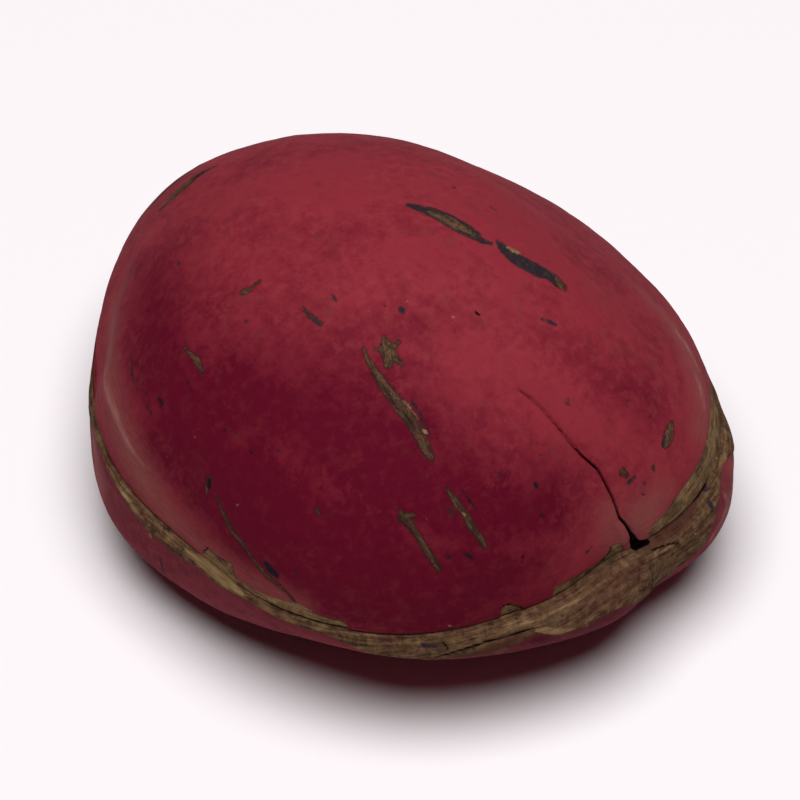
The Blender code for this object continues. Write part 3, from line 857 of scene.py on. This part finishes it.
def hidden_stroke(body, random):
    """A scar cast on the far side from behind, or None where the photo might show it."""
    aside, above = random.uniform(*HIDDEN_ASIDE), random.uniform(*HIDDEN_ABOVE)
    length = random.uniform(*HIDDEN_LENGTH)
    heading = random.normal(0, 0.4)
    forward = Vector((CAMERA.back[0], CAMERA.back[1], 0)).normalized()
    stroke = []
    for share in np.linspace(-0.5, 0.5, 5):
        across = aside + share * length * math.cos(heading)
        height = above + share * length * math.sin(heading) + random.normal(0, 0.06)
        start = Vector(CAMERA.right) * across + Vector((0, 0, height)) - forward * BEHIND
        point, normal = body.surface.ray_cast(start, forward)[:2]
        if point is None or to_array(normal) @ CAMERA.back > HIDDEN_FACING:
            return None
        width = random.uniform(0.5, 1) * (1 - 1.5 * abs(share)) * min(0.36, 0.1 + length * 0.07)
        stroke.append((to_array(point), width))
    return stroke


def add_hidden_scars(body, strokes, random):
    """Strews scars like the ones in the photo over the sides that it doesn't show."""
    for attempt in range(HIDDEN_SCAR_TRIES):
        stroke = hidden_stroke(body, random)
        if stroke is None:
            continue
        strokes["olive"].append(stroke)
        if random.random() < 0.4:
            strokes["ink"].append([(point, width * 0.55) for point, width in stroke[1:4]])


def field_of(body, stroke, far=FAR):
    """One field of its own for a pixel stroke."""
    return Strokes(body.points, cast_strokes((body,), (stroke,)), -far).inside


def hole_shade(body, hole):
    """The cleft's hole as a field of darkness that reaches deep in between the halves."""
    shade = hole + HOLE_SHADE
    shade[body.first_inside:] += HOLE_WALL_SHADE
    return shade


def build_upper(body, hole_strokes, random):
    piece = add_mesh("upper_cotyledon_skin", body)
    points = body.points
    distance = distance_from_seam(points)
    strokes = {kind: cast_strokes((body,), UPPER_MARKS.get(kind, ())) for kind in MARK_KINDS}
    add_hidden_scars(body, strokes, random)
    fields = add_fields(piece.data, points, strokes, distance, rim_inside(body, distance))
    cleft = field_of(body, CLEFT)
    lip = field_of(body, CLEFT_LEFT_LIP)
    hole = Strokes(points, hole_strokes).inside
    # Painted shade: near black in the cleft and through its hole.
    store(piece.data, "crack", np.maximum(cleft, hole_shade(body, hole)))
    calm = ramp(distance, 0.3, 2.5)
    relief = calm * (0.05 * rough(points, 0.17) + 0.03 * rough(points, 0.55))
    relief += 0.012 * rough(points, 2.2, 3)
    relief += scar_relief(fields)
    brown = ramp(fields["brown"], -0.02, 0.04)
    relief += brown * (0.04 * rough(fields["fibre"], 0.25, 3) - 0.08)
    relief += LIP_HEIGHT * ramp(lip, -0.35, 0.15) * ramp(distance, 0.0, 0.6)
    relief += SWELL_HEIGHT * ramp(field_of(body, TOP_SWELL, SOFT_FAR), -SWELL_SPREAD, 0.0)
    relief -= UPPER_DENT_DEPTH * ramp(field_of(body, LEFT_DENT, SOFT_FAR), -SIDE_SPREAD, 0.0)
    relief -= 0.10 * ramp(cleft, -0.5, 0.0) + CRACK_DEPTH * ramp(cleft, -0.05, 0.03)
    relief -= UPPER_HOLE_DEPTH * ramp(hole, -0.12, 0.10)
    place(piece, points, relief)
    strands = (BROWN, TAN, GOLD, STRAW)
    skin = skin_material("crimson_skin", (CRIMSON, DEEP_CRIMSON_AND_SHADE, PAINTED_SHEEN), strands)
    piece.data.materials.append(skin)
    return piece


def build_lower(body, hole_strokes):
    piece = add_mesh("lower_cotyledon_skin", body)
    points = body.points
    distance = distance_from_seam(points)
    strokes = {kind: cast_strokes((body,), LOWER_MARKS.get(kind, ())) for kind in MARK_KINDS}
    ledge = ledge_inside(body, distance)
    fields = add_fields(piece.data, points, strokes, distance, ledge)
    hole = Strokes(points, hole_strokes).inside
    # Painted shade: a dark line along the seam, left out where the chip's gold flesh lies, and near
    # black through the hole.
    seam_shade = 0.03 - distance - 0.2 * ramp(fields["gold"], -0.3, 0.0)
    store(piece.data, "crack", np.maximum(seam_shade, hole_shade(body, hole)))
    brown = ramp(ledge + 0.06 * rough(points, 1.5), -0.03, 0.05)
    relief = brown * (0.05 * rough(fields["fibre"], 0.25, 3) + 0.04 * rough(points, 0.9, 3) - 0.03)
    relief += 0.05 * np.exp(-(((ledge - 0.12) / 0.12) ** 2)) * brown
    relief += 0.10 * ramp(fields["gold"], -0.4, 0.0)
    relief -= 0.08 * (1 - brown) - 0.03 * ramp(-ledge, 0.1, 1.0) * rough(points, 0.5)
    relief += scar_relief(fields)
    relief -= 0.05 * ramp(fields["under"], -0.05, 0.1) + LOWER_HOLE_DEPTH * ramp(hole, -0.12, 0.10)
    relief -= LOWER_DENT_DEPTH * ramp(field_of(body, LEFT_DENT, SOFT_FAR), -SIDE_SPREAD, 0.0)
    relief += BULGE_HEIGHT * ramp(field_of(body, RIGHT_BULGE, SOFT_FAR), -SIDE_SPREAD, 0.0)
    place(piece, points, relief)
    strands = (DARK_BROWN, BROWN, TAN, GOLD)
    tones = (LOWER_CRIMSON, LOWER_DEEP_AND_SHADE, LOWER_PAINTED_SHEEN)
    piece.data.materials.append(skin_material("crimson_skin_and_ledge", tones, strands))
    return piece


def place(piece, points, relief):
    """Moves the points out by their relief and into the CAD frame, within the solids' own box."""
    moved = points + normals_of(piece.data) * relief[:, None]
    placed = np.clip((moved + SEAM_CENTRE) * MM, CAD_BOX[0], CAD_BOX[1])
    piece.data.vertices.foreach_set("co", placed.astype(np.float32).ravel())
    piece.data.update()


class Recipe:
    """A material and the shader nodes added to it, one short call each."""

    def __init__(self, name):
        self.material = bpy.data.materials.new(name)
        self.material.use_nodes = True
        self.tree = self.material.node_tree
        self.shader = self.tree.nodes["Principled BSDF"]

    def node(self, kind, inputs=(), **settings):
        made = self.tree.nodes.new(kind)
        for key, value in settings.items():
            setattr(made, key, value)
        for key, value in dict(inputs).items():
            self.feed(made.inputs[key], value)
        return made

    def feed(self, socket, value):
        if isinstance(value, bpy.types.NodeSocket):
            self.tree.links.new(value, socket)
        else:
            socket.default_value = value

    def field(self, name, output="Fac"):
        return self.node("ShaderNodeAttribute", attribute_name=name).outputs[output]

    def maths(self, operation, a, b=0.0):
        return self.node("ShaderNodeMath", {0: a, 1: b}, operation=operation).outputs[0]

    def scaled(self, vector, factor):
        inputs = {0: vector, "Scale": factor}
        return self.node("ShaderNodeVectorMath", inputs, operation="SCALE").outputs[0]

    def noise(self, vector, scale, detail=3.0, roughness=0.55, distortion=0.0):
        inputs = {"Vector": vector, "Scale": scale, "Detail": detail, "Roughness": roughness,
                  "Distortion": distortion}
        return self.node("ShaderNodeTexNoise", inputs).outputs["Fac"]

    def fade(self, value, low, high, least=0.0, most=1.0):
        """The least value up to low, the most from high, smooth between."""
        inputs = {"Value": value, "From Min": low, "From Max": high, "To Min": least, "To Max": most}
        return self.node("ShaderNodeMapRange", inputs, interpolation_type="SMOOTHSTEP").outputs[0]

    def mix(self, share, a, b):
        made = self.node("ShaderNodeMix", {0: share}, data_type="RGBA")
        self.feed(made.inputs[6], a)
        self.feed(made.inputs[7], b)
        return made.outputs[2]

    def streaky(self, strands, colours, low=0.33, high=0.67):
        """A colour that runs through some colours from the darkest strands to the lightest."""
        colour = colours[0]
        step = (high - low) / (len(colours) - 1)
        for number, following in enumerate(colours[1:]):
            start = low + step * number
            colour = self.mix(self.fade(strands, start, start + step), colour, following)
        return colour


def skin_colour(r, skin, fibre, crimson, deep, painted_sheen):
    """Bare skin: cloudy crimson with mottle and olive clouds, painted shade and light, painted sheen
    and highlights.
    """
    mottle = r.noise(skin, 1.4, 6.0, 0.7, 0.3)
    clouds = r.noise(skin, 0.25, 4.0, 0.6)
    shade = r.maths("ADD", r.fade(clouds, 0.3, 0.7, -0.1, 0.3), r.fade(mottle, 0.65, 0.3, 0.0, 0.2))
    # Painted shade, over a deeper tone, where the deep field lies.
    shade = r.maths("ADD", shade, r.fade(r.field("deep"), -6.5, 2.0, 0.0, 1.0))
    # Painted light, with some pinker skin, lifts the colour towards the lighter crimson.
    shade = r.maths("SUBTRACT", shade, r.fade(r.field("pink_and_painted_light"), -4.5, 1.5, 0.0, 0.35))
    colour = r.mix(shade, crimson, deep)
    colour = r.mix(r.fade(mottle, 0.46, 0.30, 0.0, 0.16), colour, DARKEST_CRIMSON)
    # Pink and olive mottles fade where the deep tone and painted shade lie.
    unshaded_share = r.fade(r.field("deep"), -4.0, 1.0, 1.0, 0.45)
    bloom = r.maths("MULTIPLY", r.fade(mottle, 0.45, 0.7), r.fade(clouds, 0.4, 0.6, 0.05, 0.22))
    colour = r.mix(r.maths("MULTIPLY", bloom, unshaded_share), colour, PINK)
    stain = r.fade(r.noise(skin, 0.6, 6.0, 0.75), 0.54, 0.74, 0.0, 0.45)
    colour = r.mix(r.maths("MULTIPLY", stain, unshaded_share), colour, SKIN_OLIVE)
    colour = r.mix(r.fade(r.field("brown"), -0.45, 0.0, 0.0, 0.45), colour, SKIN_OLIVE)
    # Painted sheen, broken up by the fibre noise.
    sheen_share = r.fade(r.field("painted_sheen"), -2.2, 1.0, 0.0, 0.85)
    colour = r.mix(r.maths("MULTIPLY", sheen_share, r.fade(fibre, 0.3, 0.65, 0.5, 1.0)), colour, painted_sheen)
    # Painted highlight streaks, broken up by the fibre noise.
    streak = r.fade(r.field("streak"), -0.35, 0.15)
    return r.mix(r.maths("MULTIPLY", streak, r.fade(fibre, 0.35, 0.68, 0.15, 0.7)), colour, PAINTED_HIGHLIGHT)


def margin_colour(r, skin, fibre, strands):
    """The dry fibrous margin: fine strands, with reddish and olive patches and dark pits."""
    both = r.maths("ADD", fibre, r.noise(skin, 1.6, 6.0, 0.7))
    colour = r.streaky(r.maths("SUBTRACT", r.maths("MULTIPLY", both, 0.7), 0.2), strands)
    patches = r.noise(skin, 0.45, 4.0, 0.6)
    colour = r.mix(r.fade(patches, 0.50, 0.36, 0.0, 0.3), colour, RED_BROWN)
    colour = r.mix(r.fade(patches, 0.54, 0.66, 0.0, 0.5), colour, OLIVE)
    colour = r.mix(r.fade(r.noise(skin, 3.2, 5.0, 0.7), 0.46, 0.30, 0.0, 0.45), colour, DARK_BROWN)
    # The margin turns red-brown where the deep tone and painted shade lie.
    return r.mix(r.fade(r.field("deep"), -1.5, 0.6, 0.0, 0.45), colour, RED_BROWN)


def skin_material(name, tones, strands):
    """Leathery crimson skin with its scars, and the fibrous brown of the margin."""
    r = Recipe(name)
    skin = r.scaled(r.node("ShaderNodeTexCoord").outputs["Object"], 1 / MM)
    grain = r.noise(skin, 5.0, 4.0, 0.6, 0.6)
    ragged = r.maths("MULTIPLY", r.maths("SUBTRACT", r.noise(skin, 2.6, 5.0, 0.7), 0.5), 0.45)
    fibre = r.noise(r.field("fibre", "Vector"), 0.5, 5.0, 0.68)

    def shown(kind, low=-0.03, high=0.04):
        return r.fade(r.maths("ADD", r.field(kind), ragged), low, high)

    colour = skin_colour(r, skin, fibre, *tones)
    colour = r.mix(shown("brown"), colour, margin_colour(r, skin, fibre, strands))
    colour = r.mix(shown("gold", -0.15, 0.15), colour, r.streaky(fibre, (TAN, GOLD, STRAW)))
    # The ledge's darker red-brown below the overhang: partly its own colour, partly painted shade.
    under = r.maths("MULTIPLY", shown("under", -0.35, 0.25), r.fade(fibre, 0.35, 0.6, 0.4, 1.0))
    colour = r.mix(under, colour, r.streaky(fibre, (DARK_BROWN, RED_BROWN, BROWN)))
    edge = r.maths("MULTIPLY", shown("olive", -0.14, 0.04), r.fade(grain, 0.40, 0.60, 0.35, 1.0))
    colour = r.mix(edge, colour, DARK_OLIVE)
    scar = r.streaky(fibre, (DARK_OLIVE, OLIVE, TAN, TAN), 0.38, 0.66)
    scar = r.mix(r.fade(grain, 0.54, 0.38, 0.0, 0.7), scar, DARK_OLIVE)
    # Scars show less, with darker crimson through them, where the deep tone and painted shade lie.
    scar_cover = r.fade(r.field("deep"), -5.0, 1.0, 0.92, 0.66)
    colour = r.mix(r.maths("MULTIPLY", shown("olive", 0.0, 0.12), scar_cover), colour, scar)
    ink = r.streaky(grain, (INK, OLIVE), 0.45, 0.8)
    # Ink turns darker where the deep tone and painted shade lie.
    ink = r.mix(r.fade(r.field("deep"), -5.0, 1.0, 0.0, 0.8), ink, DARK_INK_AND_SHADE)
    colour = r.mix(shown("ink", -0.11, 0.09), colour, ink)
    colour = r.mix(shown("pale", -0.02, 0.08), colour, r.streaky(fibre, (TAN, CREAM)))
    # Painted shade: near black in cracks, pits, the cleft, the seam and the hole.
    colour = r.mix(r.fade(r.field("dark"), -0.05, 0.02), colour, BLACK_RED)
    colour = r.mix(r.fade(r.field("crack"), -0.05, 0.02), colour, BLACK_RED)
    r.feed(r.shader.inputs["Base Color"], colour)
    dry = r.maths("MAXIMUM", shown("brown"), shown("olive"))
    r.feed(r.shader.inputs["Roughness"], r.fade(dry, 0.0, 1.0, SKIN_ROUGHNESS, DRY_ROUGHNESS))
    r.shader.inputs["Specular IOR Level"].default_value = SKIN_SPECULAR
    height = r.mix(dry, grain, fibre)
    bump = r.node("ShaderNodeBump", {"Height": height, "Distance": BUMP_DEPTH * MM, "Strength": 1.0})
    r.feed(r.shader.inputs["Normal"], bump.outputs[0])
    return r.material


def add_floor():
    """A white sheet, lit evenly, far wider than what the camera sees."""
    half = FLOOR_SIZE / 2
    mesh = bpy.data.meshes.new("floor")
    corners = [(-half, -half, 0), (half, -half, 0), (half, half, 0), (-half, half, 0)]
    mesh.from_pydata(corners, [], [(0, 1, 2, 3)])
    floor = bpy.data.objects.new("floor", mesh)
    bpy.context.scene.collection.objects.link(floor)
    paper = Recipe("white_paper")
    paper.shader.inputs["Base Color"].default_value = FLOOR_WHITE
    paper.shader.inputs["Roughness"].default_value = FLOOR_ROUGHNESS
    paper.shader.inputs["Specular IOR Level"].default_value = FLOOR_SPECULAR
    mesh.materials.append(paper.material)


def add_light(name, azimuth, elevation, size, power):
    """A round soft light that faces the nut, with azimuth and elevation as the camera's."""
    a, e = math.radians(azimuth), math.radians(elevation)
    away = Vector((math.sin(a) * math.cos(e), -math.cos(a) * math.cos(e), math.sin(e)))
    light = bpy.data.lights.new(name, "AREA")
    light.shape = "DISK"
    light.size = size
    light.energy = power
    lamp = bpy.data.objects.new(name, light)
    lamp.location = away * LIGHT_DISTANCE
    lamp.rotation_euler = away.to_track_quat("Z", "Y").to_euler()
    bpy.context.scene.collection.objects.link(lamp)


def add_world():
    world = bpy.data.worlds.new("studio")
    world.use_nodes = True
    backdrop = world.node_tree.nodes["Background"]
    backdrop.inputs["Color"].default_value = (1, 1, 1, 1)
    backdrop.inputs["Strength"].default_value = WORLD_STRENGTH
    bpy.context.scene.world = world


def add_camera():
    data = bpy.data.cameras.new("camera")
    data.sensor_width = SENSOR_WIDTH
    data.lens = CAMERA.focal / IMAGE_SIZE * SENSOR_WIDTH
    data.clip_start = 0.01
    camera = bpy.data.objects.new("camera", data)
    turn = Matrix((CAMERA.right, CAMERA.up, CAMERA.back)).transposed()
    camera.matrix_world = Matrix.Translation((CAMERA.eye + SEAM_CENTRE) * MM) @ turn.to_4x4()
    bpy.context.scene.collection.objects.link(camera)
    bpy.context.scene.camera = camera


def dress(piece, node):
    """Hangs a piece on the root body and hides the CAD node that it stands for."""
    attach(piece, "root")
    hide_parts(node)


UPPER = upper_rings()
LOWER = lower_rings()
HOLE = cast_strokes((UPPER, LOWER), (CLEFT_HOLE,))
dress(build_upper(UPPER, HOLE, np.random.default_rng(7)), "upper_cotyledon")
dress(build_lower(LOWER, HOLE), "lower_cotyledon")
add_floor()
add_camera()
add_light("softbox", SOFTBOX_AZIMUTH, SOFTBOX_ELEVATION, SOFTBOX_SIZE, SOFTBOX_POWER)
add_world()
bpy.context.scene.view_settings.view_transform = "Standard"
